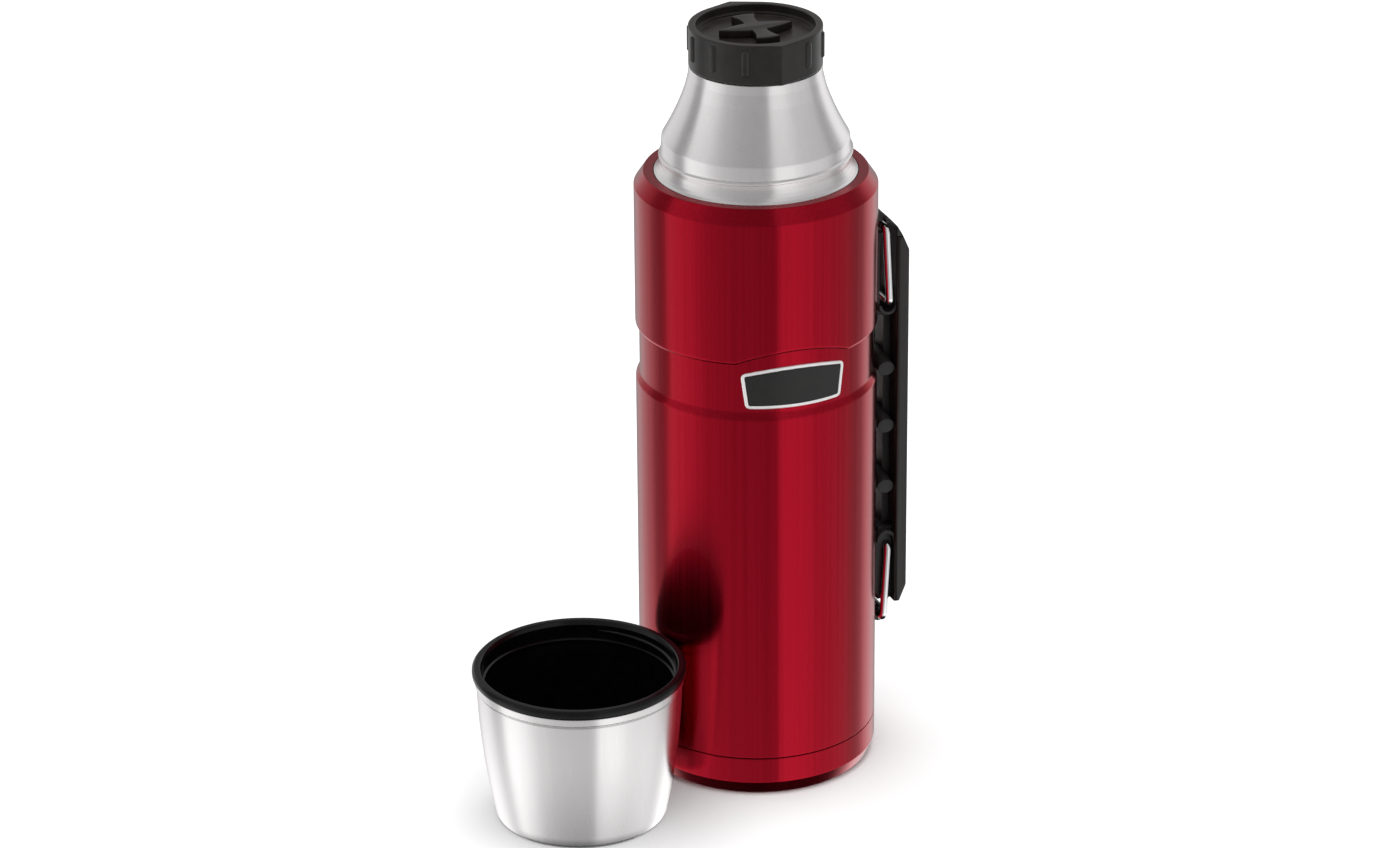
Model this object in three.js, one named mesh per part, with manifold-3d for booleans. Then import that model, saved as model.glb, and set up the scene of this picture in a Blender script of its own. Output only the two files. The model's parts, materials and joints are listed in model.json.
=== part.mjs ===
// Insulated water bottle, about 1.2 litres, with a screw stopper, a drinking cup and a fold-out handle.
// Millimetres, +Z up. The origin is the middle of the bottle's foot, on the surface that it stands on.
// The handle is towards +X and the badge towards -Y. The cup stands beside the bottle, mouth up.
import * as THREE from "three";
import { mergeVertices } from "three/addons/utils/BufferGeometryUtils.js";
import Module from "manifold-3d";

// ---- Driving dimensions ----
const GAP = 0.3; // between pieces that touch
const SHEET = 1; // steel wall
const BODY_SIDES = 32; // facets round the bottle and the cup
const STOPPER_SIDES = 32;
const WIRE_SIDES = 8;

const BODY_R = 47.5;
const WAIST_R = 46;
const SEAM_Z = 16.2; // between base cap and shell
const WAIST_BOTTOM = 165;
const WAIST_TOP = 186;
const SHOULDER_Z = 243.7;
const SHOULDER_TOP = 249.3; // the cup's lip stands on this ledge when it is on the bottle
const SHOULDER_EDGE_R = 43.7; // where the chamfer ends and the ledge begins
const SHOULDER_INNER_R = 39.9;
const FOOT_R = 45.1;
const FOOT_TOP = 5.5;
const FOOT_RECESS_R = 34; // outside of the groove pressed into the foot

const ARCH_HALF_ANGLE = THREE.MathUtils.degToRad(29.3);
const ARCH_RISE = 4.9;
const FRONT_TURN = THREE.MathUtils.degToRad(-1.8); // the arch and the badge sit a little off square

const LINER_R = 41.9;
const LINER_BOTTOM = 8.5;
const NECK_BORE_R = 22.6;
const SEAT_BORE_R = 21.2;
const NECK_TOP = 292.1;

const STOPPER_THREAD = { lead: 8, starts: 2, turns: 1.25, base: 1.6, crest: 0.8, height: 1.3 };
const STOPPER_THREAD_Z = 281;
const PLUG_R = 20.6;
const CUP_THREAD = { lead: 4, starts: 1, base: 1.9, crest: 0.8 };
const NECK_WALL_R = 36.75; // under the cup's thread
const NECK_THREAD_R = 37.55;
const NECK_THREAD_Z = 256.8;
const CUP_INNER_R = 38;
const CUP_THREAD_R = 37.2;
const CUP_THREAD_Z = 56.4;

const CAP_R = 25.9;
const CAP_CORNER_R = 28.2; // how far the two corners of the stopper reach
const CAP_BOTTOM = 292.5;
const CAP_TOP = 308.4;
const CAP_RECESS_R = 23;
const CAP_FLOOR = 304.4;

const CUP_AXIS = new THREE.Vector3(-85.65, -27.9, 0);
const CUP_LIP_R = 42.1;

const WIRE_R = 1.6;
const LINK_LENGTH = 32; // between the two cross rods of a wire link
const LINK_TILT = THREE.MathUtils.degToRad(3.2);
const LINK_HALF_WIDTH = 10.5;
const PIVOT_X = 50.6;
const UPPER_PIVOT_Z = 220.5;
const LOWER_PIVOT_Z = 51.2;
const ROD_X = PIVOT_X + LINK_LENGTH * Math.sin(LINK_TILT);
const LINK_DROP = LINK_LENGTH * Math.cos(LINK_TILT);
const UPPER_ROD_Z = UPPER_PIVOT_Z - LINK_DROP;
const LOWER_ROD_Z = LOWER_PIVOT_Z + LINK_DROP;
const BORE_R = WIRE_R + GAP;

const HANDLE_BACK_X = 59.8;
const HANDLE_HALF_WIDTH = 13;
const SHELL_EDGE_X = 54.7; // where the handle shell's side walls end
const SHELL_TOP = 217.2;
const CHEEK_HALF_WIDTH = 8.6;
const HOLLOW_HALF_WIDTH = 6.6;
const SLOT_R = 2.85;
const SLOT_X = 51.55;
const SLOT_BOTTOM = 185.3;
const SLOT_TOP = 223.2;
const HANDLE_BODY_GAP_R = 48.1; // the handle's inside stays outside this radius
const SPINE_HALF_WIDTH = 4.4;
const SPINE_INNER_X = 52.2;
const RIDGE_R = 3.5;
const RIDGE_X = 50.9;
const RIDGE_HALF_WIDTH = 11;
const RIDGE_HALF_HEIGHT = 2.8; // at its ends
const RIDGE_RISE = 3.1; // how much higher its upper side is in the middle
const RIDGE_HEIGHTS = [161, 136.2, 109.7];

// ---- Geometry helpers ----
const wasm = await Module();
wasm.setup();

// Merges the shared vertices, drops triangles with no area and turns the faces outwards.
function closed(geometry) {
  const bare = new THREE.BufferGeometry();
  bare.setAttribute("position", geometry.getAttribute("position"));
  bare.setIndex(geometry.index);
  const merged = mergeVertices(bare, 1e-4);
  const p = merged.getAttribute("position");
  const corners = [];
  const [a, b, c] = [new THREE.Vector3(), new THREE.Vector3(), new THREE.Vector3()];
  let volume = 0;
  for (let i = 0; i < merged.index.count; i += 3) {
    const triangle = [0, 1, 2].map((k) => merged.index.getX(i + k));
    if (new Set(triangle).size < 3) continue;
    corners.push(triangle);
    a.fromBufferAttribute(p, triangle[0]);
    b.fromBufferAttribute(p, triangle[1]);
    c.fromBufferAttribute(p, triangle[2]);
    volume += a.dot(b.cross(c));
  }
  if (volume < 0) corners.forEach((triangle) => triangle.reverse());
  merged.setIndex(corners.flat());
  return merged;
}

function solid(geometry) {
  const g = closed(geometry);
  const vertProperties = new Float32Array(g.getAttribute("position").array);
  const triVerts = new Uint32Array(g.index.array);
  return new wasm.Manifold(new wasm.Mesh({ numProp: 3, vertProperties, triVerts }));
}

function geometryOf(body) {
  const mesh = body.getMesh();
  const geometry = new THREE.BufferGeometry();
  geometry.setAttribute("position", new THREE.BufferAttribute(mesh.vertProperties, 3));
  geometry.setIndex(new THREE.BufferAttribute(mesh.triVerts, 1));
  return geometry;
}

const join = (geometries) => geometries.map(solid).reduce((all, one) => all.add(one));
const cut = (body, geometries) => geometries.reduce((left, g) => left.subtract(solid(g)), body);

// A body turned about Z from [radius, height] points. A profile off the axis is closed on itself.
function turned(profile, sides = BODY_SIDES) {
  const points = profile.map(([r, z]) => new THREE.Vector2(r, z));
  const onAxis = profile[0][0] === 0 && profile.at(-1)[0] === 0;
  if (!onAxis) points.push(points[0].clone());
  return new THREE.LatheGeometry(points, sides).rotateX(Math.PI / 2);
}

function ring(innerR, outerR, bottom, top, sides = BODY_SIDES) {
  const profile = [[innerR, bottom], [outerR, bottom], [outerR, top], [innerR, top]];
  return turned(profile, sides);
}

// A shape drawn in X and Z, extruded along Y and centred on it. A bevel stays inside the outline.
function across(shape, halfWidth, bevel = 0, curveSegments = 5) {
  const options = {
    depth: 2 * (halfWidth - bevel),
    bevelEnabled: bevel > 0,
    bevelThickness: bevel,
    bevelSize: bevel,
    bevelOffset: -bevel,
    bevelSegments: 2,
    curveSegments,
  };
  return new THREE.ExtrudeGeometry(shape, options)
    .rotateX(Math.PI / 2)
    .translate(0, halfWidth - bevel, 0);
}

function polygon(points) {
  return new THREE.Shape(points.map(([x, z]) => new THREE.Vector2(x, z)));
}

function slab(x0, x1, y0, y1, z0, z1) {
  return new THREE.BoxGeometry(x1 - x0, y1 - y0, z1 - z0)
    .translate((x0 + x1) / 2, (y0 + y1) / 2, (z0 + z1) / 2);
}

function crossRod(radius, x, z, halfWidth, sides = 16) {
  return new THREE.CylinderGeometry(radius, radius, 2 * halfWidth, sides).translate(x, 0, z);
}

// An upright slot with round ends, or its rim, drawn in X and Z.
function slotShape(radius, bottom, top) {
  const shape = new THREE.Shape();
  shape.absarc(SLOT_X, bottom + SLOT_R, radius, Math.PI, 2 * Math.PI);
  shape.absarc(SLOT_X, top - SLOT_R, radius, 0, Math.PI);
  return shape;
}

// ---- Bottle body ----
function baseCap() {
  return turned([
    [0, 0],
    [24, 0],
    [25, 1.8],
    [FOOT_RECESS_R - 1, 1.8],
    [FOOT_RECESS_R, 0],
    [FOOT_R, 0],
    [BODY_R, FOOT_TOP],
    [BODY_R, SEAM_Z - GAP / 2],
    [BODY_R - SHEET, SEAM_Z - GAP / 2],
    [BODY_R - SHEET, FOOT_TOP + 0.2],
    [FOOT_R - 0.5, 1.1],
    [FOOT_RECESS_R + 0.9, 1.1],
    [FOOT_RECESS_R - 0.2, 2.9],
    [24.2, 2.9],
    [23.2, 1.1],
    [0, 1.1],
  ]);
}

// The dished end of the outer vessel, with the small hole that the air is drawn out through.
function vesselBottom() {
  return turned([
    [1.8, 4.4],
    [36, 4.4],
    [44, 6.8],
    [46.1, 11],
    [46.1, 17],
    [45.1, 17],
    [45.1, 11.4],
    [43.4, 7.8],
    [35.6, 5.4],
    [1.8, 5.4],
  ]);
}

function vacuumSeal() {
  return turned([[0, 3.5], [1, 3.7], [1.4, 4.3], [1.4, 5.6], [0.9, 6], [0, 6.1]], 16);
}

// Outline of the arched notch over the badge, seen from the front. It starts below the edge that it cuts.
function archShape() {
  const halfWidth = BODY_R * Math.sin(ARCH_HALF_ANGLE);
  const shape = new THREE.Shape();
  shape.moveTo(-halfWidth, WAIST_TOP - 1);
  shape.lineTo(halfWidth, WAIST_TOP - 1);
  shape.lineTo(halfWidth, WAIST_TOP);
  shape.quadraticCurveTo(0, WAIST_TOP + 2 * ARCH_RISE, -halfWidth, WAIST_TOP);
  return shape;
}

// A prism through the front of the bottle.
function frontPrism(shape) {
  const options = { depth: 60, bevelEnabled: false, curveSegments: 8 };
  return new THREE.ExtrudeGeometry(shape, options).rotateX(Math.PI / 2).rotateZ(FRONT_TURN);
}

function outerShell() {
  const backedTop = WAIST_TOP + 7; // the wall stays whole behind the notch
  const body = solid(turned([
    [BODY_R, SEAM_Z + GAP / 2],
    [BODY_R, WAIST_BOTTOM - 2],
    [BODY_R - 0.35, WAIST_BOTTOM - 0.8],
    [WAIST_R + 0.3, WAIST_BOTTOM],
    [WAIST_R, WAIST_BOTTOM + 0.8],
    [WAIST_R, WAIST_TOP],
    [BODY_R, WAIST_TOP],
    [BODY_R, SHOULDER_Z],
    [SHOULDER_EDGE_R, SHOULDER_TOP],
    [SHOULDER_INNER_R, SHOULDER_TOP],
    [SHOULDER_INNER_R, SHOULDER_TOP - SHEET],
    [SHOULDER_EDGE_R - 0.5, SHOULDER_TOP - SHEET],
    [BODY_R - SHEET, SHOULDER_Z - 0.4],
    [BODY_R - SHEET, backedTop + 2],
    [WAIST_R - SHEET, backedTop],
    [WAIST_R - SHEET, WAIST_BOTTOM - 1],
    [BODY_R - SHEET, WAIST_BOTTOM - 3],
    [BODY_R - SHEET, SEAM_Z + GAP / 2],
  ]));
  const band = solid(ring(WAIST_R, BODY_R + 1, WAIST_TOP - 1, WAIST_TOP + ARCH_RISE + 1));
  const notch = band.intersect(solid(frontPrism(archShape())));
  return geometryOf(body.subtract(notch));
}

// A helical ridge: a straight bar bent round the axis while it climbs. tipR is outside or inside rootR.
function threadRidge(rootR, tipR, middleZ, startAngle, { lead, turns: length, base, crest }) {
  const section = polygon([[rootR, -base / 2], [tipR, -crest / 2], [tipR, crest / 2],
    [rootR, base / 2]]);
  const steps = Math.round(length * 24);
  const bar = new THREE.ExtrudeGeometry(section, { depth: length, steps, bevelEnabled: false });
  const p = bar.getAttribute("position");
  for (let i = 0; i < p.count; i += 1) {
    const turns = p.getZ(i);
    const angle = startAngle + turns * 2 * Math.PI;
    const radius = p.getX(i);
    const z = middleZ + p.getY(i) + (turns - length / 2) * lead;
    p.setXYZ(i, radius * Math.cos(angle), radius * Math.sin(angle), z);
  }
  return bar;
}

function threads(rootR, tipR, middleZ, thread) {
  const ridges = [];
  for (let i = 0; i < thread.starts; i += 1) {
    ridges.push(threadRidge(rootR, tipR, middleZ, (i * 2 * Math.PI) / thread.starts, thread));
  }
  return ridges;
}

// The steel neck. A thread for the cup runs once round the foot of the cone.
function neckCone() {
  const skirtBottom = SHOULDER_TOP - 3;
  const body = turned([
    [SHOULDER_INNER_R - GAP, skirtBottom],
    [SHOULDER_INNER_R - GAP, SHOULDER_TOP],
    [38.7, 250],
    [37.8, 251.1],
    [37.1, 252.5],
    [NECK_WALL_R, 254],
    [NECK_WALL_R, 258.2],
    [36.5, 262.9],
    [31.2, 273],
    [27.4, 283.1],
    [26.6, 285.8],
    [25.6, 290.6],
    [24.9, 291.7],
    [23.9, NECK_TOP],
    [NECK_BORE_R, NECK_TOP],
    [NECK_BORE_R, 291.1],
    [24.6, 290.4],
    [25.5, 286.5],
    [26.4, 283],
    [30.1, 273],
    [35.3, 262.6],
    [35.7, 258],
    [35.7, 253.8],
    [36.8, 250.8],
    [38.4, 249.2],
    [38.6, skirtBottom],
  ]);
  const thread = { ...CUP_THREAD, turns: 0.95 };
  const startAngle = THREE.MathUtils.degToRad(80);
  const bead = threadRidge(NECK_WALL_R - GAP, NECK_THREAD_R, NECK_THREAD_Z, startAngle, thread);
  return geometryOf(join([body, bead]));
}

function innerVessel() {
  const body = turned([
    [0, LINER_BOTTOM],
    [30, LINER_BOTTOM],
    [38, 10],
    [41, 13.5],
    [LINER_R, 18],
    [LINER_R, 236],
    [40.3, 242],
    [36.2, 249],
    [31.5, 257],
    [26.5, 264.5],
    [23, 267.5],
    [22.3, 268.8],
    [22.3, 272],
    [23.6, 273.4],
    [23.6, 290.7],
    [NECK_BORE_R, 290.7],
    [NECK_BORE_R, 273.9],
    [SEAT_BORE_R, 272.5],
    [SEAT_BORE_R, 268.3],
    [22, 266.8],
    [25.8, 263.6],
    [30.7, 256.3],
    [35.3, 248.5],
    [39.4, 241.6],
    [LINER_R - SHEET, 235.7],
    [LINER_R - SHEET, 18.2],
    [40.1, 14],
    [37.4, 10.9],
    [29.6, LINER_BOTTOM + SHEET],
    [0, LINER_BOTTOM + SHEET],
  ]);
  const { lead, starts, height } = STOPPER_THREAD;
  const middleZ = STOPPER_THREAD_Z + lead / starts / 2;
  const ridges = threads(NECK_BORE_R + GAP, NECK_BORE_R - height, middleZ, STOPPER_THREAD);
  return geometryOf(join([body, ...ridges]));
}

function getter() {
  return turned([[0, 6.7], [5.6, 6.7], [6, 7], [6, 8.1], [0, 8.1]], 24);
}

// ---- Badge: a plain plaque with a bright border, curved to the waist ----
function badgeShape(inset) {
  const topHalf = WAIST_R * Math.sin(THREE.MathUtils.degToRad(27)) - inset;
  const bottomHalf = WAIST_R * Math.sin(THREE.MathUtils.degToRad(24.6)) - inset;
  const bottom = 167.8 + inset;
  const corner = 181.9 - inset;
  const crown = 2.8;
  const shape = new THREE.Shape();
  shape.moveTo(-bottomHalf + 1, bottom);
  shape.lineTo(bottomHalf - 1, bottom);
  shape.quadraticCurveTo(bottomHalf, bottom, bottomHalf + 0.1, bottom + 1);
  shape.lineTo(topHalf - 0.05, corner - 1);
  shape.quadraticCurveTo(topHalf, corner, topHalf - 1, corner + 0.2);
  shape.quadraticCurveTo(0, corner + 2 * crown, -topHalf + 1, corner + 0.2);
  shape.quadraticCurveTo(-topHalf, corner, -topHalf + 0.05, corner - 1);
  shape.lineTo(-bottomHalf - 0.1, bottom + 1);
  shape.quadraticCurveTo(-bottomHalf, bottom, -bottomHalf + 1, bottom);
  return shape;
}

function badgePlate(border) {
  const wall = solid(ring(WAIST_R + 0.4, WAIST_R + 0.8, 160, 192, 64));
  return geometryOf(wall.intersect(solid(frontPrism(badgeShape(border + GAP)))));
}

function badgeRim(border) {
  const wall = solid(ring(WAIST_R + 0.4, WAIST_R + 1.1, 160, 192, 64));
  const outline = solid(frontPrism(badgeShape(0)));
  return geometryOf(wall.intersect(cut(outline, [frontPrism(badgeShape(border))])));
}

// ---- Stopper ----
// The cap's outline: a circle with two opposite corners where straight sides run out to a point.
function capOutline(radius, cornerR) {
  const touch = Math.acos(radius / cornerR);
  const shape = new THREE.Shape();
  shape.moveTo(0, -cornerR);
  shape.absarc(0, 0, radius, -Math.PI / 2 + touch, Math.PI / 2 - touch);
  shape.lineTo(0, cornerR);
  shape.absarc(0, 0, radius, Math.PI / 2 + touch, 1.5 * Math.PI - touch);
  shape.lineTo(0, -cornerR);
  return shape;
}

// One upright grip rib with round ends, lying against the cap's side at the given angle.
function gripRib(angle) {
  const [halfWidth, halfHeight, proud, middleZ] = [1.7, 3.6, 0.8, 301.3];
  const shape = new THREE.Shape();
  shape.absarc(0, -halfHeight, halfWidth, Math.PI, 2 * Math.PI);
  shape.absarc(0, halfHeight, halfWidth, 0, Math.PI);
  const options = { depth: 1.6, bevelEnabled: false, curveSegments: 2 };
  return new THREE.ExtrudeGeometry(shape, options)
    .rotateX(Math.PI / 2)
    .rotateZ(Math.PI / 2)
    .translate(CAP_R + proud - 1.6, 0, middleZ)
    .rotateZ(angle);
}

function stopperCap() {
  const bevel = 0.6;
  const options = {
    depth: CAP_TOP - CAP_BOTTOM - 2 * bevel,
    bevelThickness: bevel,
    bevelSize: bevel,
    bevelOffset: -bevel,
    bevelSegments: 1,
    curveSegments: 10,
  };
  const outside = new THREE.ExtrudeGeometry(capOutline(CAP_R, CAP_CORNER_R), options)
    .translate(0, 0, CAP_BOTTOM + bevel);
  const ribs = [];
  for (let i = 0; i < 12; i += 1) {
    if (i % 6 !== 3) ribs.push(gripRib((i * Math.PI) / 6));
  }
  const recess = turned([[0, CAP_FLOOR], [CAP_RECESS_R, CAP_FLOOR], [CAP_RECESS_R, CAP_TOP + 1],
    [0, CAP_TOP + 1]], STOPPER_SIDES);
  const plugRoom = turned([[0, CAP_BOTTOM - 1], [PLUG_R + 0.4, CAP_BOTTOM - 1],
    [PLUG_R + 0.4, CAP_FLOOR - 2], [0, CAP_FLOOR - 2]], STOPPER_SIDES);
  const sealRoom = turned([[0, CAP_BOTTOM - 1], [24.9, CAP_BOTTOM - 1], [24.9, 294.2], [0, 294.2]],
    STOPPER_SIDES);
  return geometryOf(cut(join([outside, ...ribs]), [recess, plugRoom, sealRoom]));
}

// The raised four-armed bar in the stopper's top, for the fingers to turn.
function turnBar() {
  const shape = new THREE.Shape();
  shape.moveTo(15, 0);
  shape.quadraticCurveTo(8, 3.6, 3, 4);
  shape.quadraticCurveTo(2.2, 8, 4.8, 13.4);
  shape.quadraticCurveTo(0, 15, -4.8, 13.4);
  shape.quadraticCurveTo(-2.2, 8, -3, 4);
  shape.quadraticCurveTo(-8, 3.6, -15, 0);
  shape.quadraticCurveTo(-8, -3.6, -3, -4);
  shape.quadraticCurveTo(-2.2, -8, -4.8, -13.4);
  shape.quadraticCurveTo(0, -15, 4.8, -13.4);
  shape.quadraticCurveTo(2.2, -8, 3, -4);
  shape.quadraticCurveTo(8, -3.6, 15, 0);
  const height = 2.9;
  return new THREE.ExtrudeGeometry(shape, { depth: height, bevelEnabled: false, curveSegments: 5 })
    .translate(0, 0, CAP_FLOOR + GAP);
}

function stopperPlug() {
  const body = turned([
    [0, 266.5],
    [20, 266.5],
    [PLUG_R, 267.1],
    [PLUG_R, 267.9],
    [18.2, 267.9],
    [18.2, 271.5],
    [PLUG_R, 271.5],
    [PLUG_R, CAP_FLOOR - 2.4],
    [19, CAP_FLOOR - 2.4],
    [19, 273.2],
    [0, 273.2],
  ], STOPPER_SIDES);
  const tipR = PLUG_R + STOPPER_THREAD.height;
  const ridges = threads(PLUG_R - GAP, tipR, STOPPER_THREAD_Z, STOPPER_THREAD);
  return geometryOf(join([body, ...ridges]));
}

function stopperFoam() {
  return turned([[0, 273.5], [18.7, 273.5], [18.7, 301.4], [0, 301.4]], STOPPER_SIDES);
}

function stopperGasket() {
  const lips = [[18.5, 268.2], [20.3, 268.2], [20.9, 268.9], [20.5, 269.7], [20.9, 270.5],
    [20.3, 271.2], [18.5, 271.2]];
  return turned(lips, STOPPER_SIDES);
}

function rimSeal() {
  return turned([[21.4, 292.4], [24.2, 292.4], [24.6, 292.8], [24.6, 293.9], [21.4, 293.9]],
    STOPPER_SIDES);
}

// ---- Cup ----
function cupShell() {
  return turned([
    [0, 1],
    [31, 1],
    [32, 0],
    [33.4, 0],
    [33.7, 0.4],
    [34.3, 2],
    [36, 10],
    [37.5, 18],
    [38.5, 26],
    [39.5, 34],
    [40.1, 42],
    [40.4, 55.8],
    [41.1, 56.8],
    [41.1, 59.7],
    [40.2, 59.7],
    [40.2, 57.2],
    [39.4, 56],
    [39.1, 42],
    [38.5, 34],
    [37.5, 26],
    [36.5, 18],
    [35, 10],
    [33.2, 2],
    [0, 2],
  ]);
}

// The cup's black lining, with a rolled lip and the thread that takes the bottle's neck.
function cupLiner() {
  const body = turned([
    [0, 2.4],
    [32.6, 2.4],
    [34.6, 10],
    [36.1, 18],
    [37.1, 26],
    [38.1, 34],
    [38.7, 42],
    [39, 55.8],
    [39, 60],
    [41.3, 60.1],
    [CUP_LIP_R, 60.9],
    [CUP_LIP_R, 62.2],
    [41.5, 63.1],
    [40.3, 63.4],
    [38.9, 62.9],
    [38.2, 61.9],
    [CUP_INNER_R, 59.4],
    [CUP_INNER_R, 54],
    [37.5, 42],
    [36.9, 34],
    [35.9, 26],
    [34.9, 18],
    [33.4, 10],
    [31.5, 3.6],
    [0, 3.6],
  ]);
  const thread = { ...CUP_THREAD, turns: 1.4 };
  const startAngle = THREE.MathUtils.degToRad(-76);
  const ridge = threadRidge(CUP_INNER_R + GAP, CUP_THREAD_R, CUP_THREAD_Z, startAngle, thread);
  return geometryOf(join([body, ridge]));
}

// ---- Handle ----
// A wire ring bent from one rod. Its ends meet in the middle of the rod that the bracket holds.
function wireLink(pivotZ, rodZ) {
  const bend = 2.4;
  const end = new THREE.Vector3(PIVOT_X, 0.25, pivotZ);
  const top = new THREE.Vector3(PIVOT_X, LINK_HALF_WIDTH, pivotZ);
  const bottom = new THREE.Vector3(ROD_X, LINK_HALF_WIDTH, rodZ);
  const along = bottom.clone().sub(top).normalize().multiplyScalar(bend);
  const inwards = new THREE.Vector3(0, -bend, 0);
  const mirror = (v) => new THREE.Vector3(v.x, -v.y, v.z);
  const topIn = top.clone().add(inwards);
  const topOut = top.clone().add(along);
  const bottomOut = bottom.clone().sub(along);
  const bottomIn = bottom.clone().add(inwards);
  const path = new THREE.CurvePath();
  path.add(new THREE.LineCurve3(end, topIn));
  path.add(new THREE.QuadraticBezierCurve3(topIn, top, topOut));
  path.add(new THREE.LineCurve3(topOut, bottomOut));
  path.add(new THREE.QuadraticBezierCurve3(bottomOut, bottom, bottomIn));
  path.add(new THREE.LineCurve3(bottomIn, mirror(bottomIn)));
  path.add(new THREE.QuadraticBezierCurve3(mirror(bottomIn), mirror(bottom), mirror(bottomOut)));
  path.add(new THREE.LineCurve3(mirror(bottomOut), mirror(topOut)));
  path.add(new THREE.QuadraticBezierCurve3(mirror(topOut), mirror(top), mirror(topIn)));
  path.add(new THREE.LineCurve3(mirror(topIn), mirror(end)));
  const section = new THREE.Shape();
  section.absarc(0, 0, WIRE_R, 0, 2 * Math.PI);
  const options = { steps: 44, extrudePath: path, curveSegments: WIRE_SIDES / 2 };
  return new THREE.ExtrudeGeometry(section, options);
}

// A saddle on the bottle's side that holds one link's rod.
function bracket(pivotZ, padBottom) {
  const halfWidth = 6.2;
  const top = pivotZ + 3.3;
  const pad = slab(46, 49.2, -halfWidth, halfWidth, padBottom, top);
  const neck = slab(46, PIVOT_X, -halfWidth, halfWidth, pivotZ - 3.3, top);
  const barrel = crossRod(3.3, PIVOT_X, pivotZ, halfWidth);
  const bore = crossRod(BORE_R, PIVOT_X, pivotZ, 2 * halfWidth);
  const bottle = turned([[0, 0], [BODY_R + GAP, 0], [BODY_R + GAP, 300], [0, 300]], 80);
  return geometryOf(cut(join([pad, neck, barrel]), [bore, bottle]));
}

function handleShellShape() {
  const shape = new THREE.Shape();
  shape.moveTo(SHELL_EDGE_X, 58.7);
  shape.lineTo(56.4, 58.5);
  shape.quadraticCurveTo(57.6, 58.8, HANDLE_BACK_X - 0.5, 64.6);
  shape.quadraticCurveTo(HANDLE_BACK_X, 66, HANDLE_BACK_X, 70);
  shape.lineTo(HANDLE_BACK_X, 208);
  shape.quadraticCurveTo(HANDLE_BACK_X, 212, 57.2, SHELL_TOP);
  shape.lineTo(SHELL_EDGE_X, SHELL_TOP);
  return shape;
}

function handleShell() {
  const cavity = polygon([[54, 61], [55.4, 61], [57.7, 67], [57.7, 208], [57.2, 212.5], [56.2, 218],
    [54, 218]]);
  const outside = solid(across(handleShellShape(), HANDLE_HALF_WIDTH, 1.2, 3));
  return geometryOf(cut(outside, [across(cavity, HANDLE_HALF_WIDTH - 1.5)]));
}

// One finger ridge: an oval bar along Y whose upper side arches up between its flat ends.
function fingerRidge(z) {
  const bar = new THREE.CylinderGeometry(1, 1, 2 * RIDGE_HALF_WIDTH, 16, 8);
  const p = bar.getAttribute("position");
  for (let i = 0; i < p.count; i += 1) {
    const rise = p.getZ(i) > 0 ? RIDGE_RISE * (1 - (p.getY(i) / RIDGE_HALF_WIDTH) ** 2) : 0;
    p.setX(i, RIDGE_X + RIDGE_R * p.getX(i));
    p.setZ(i, z + (RIDGE_HALF_HEIGHT + rise) * p.getZ(i));
  }
  return bar;
}

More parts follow.
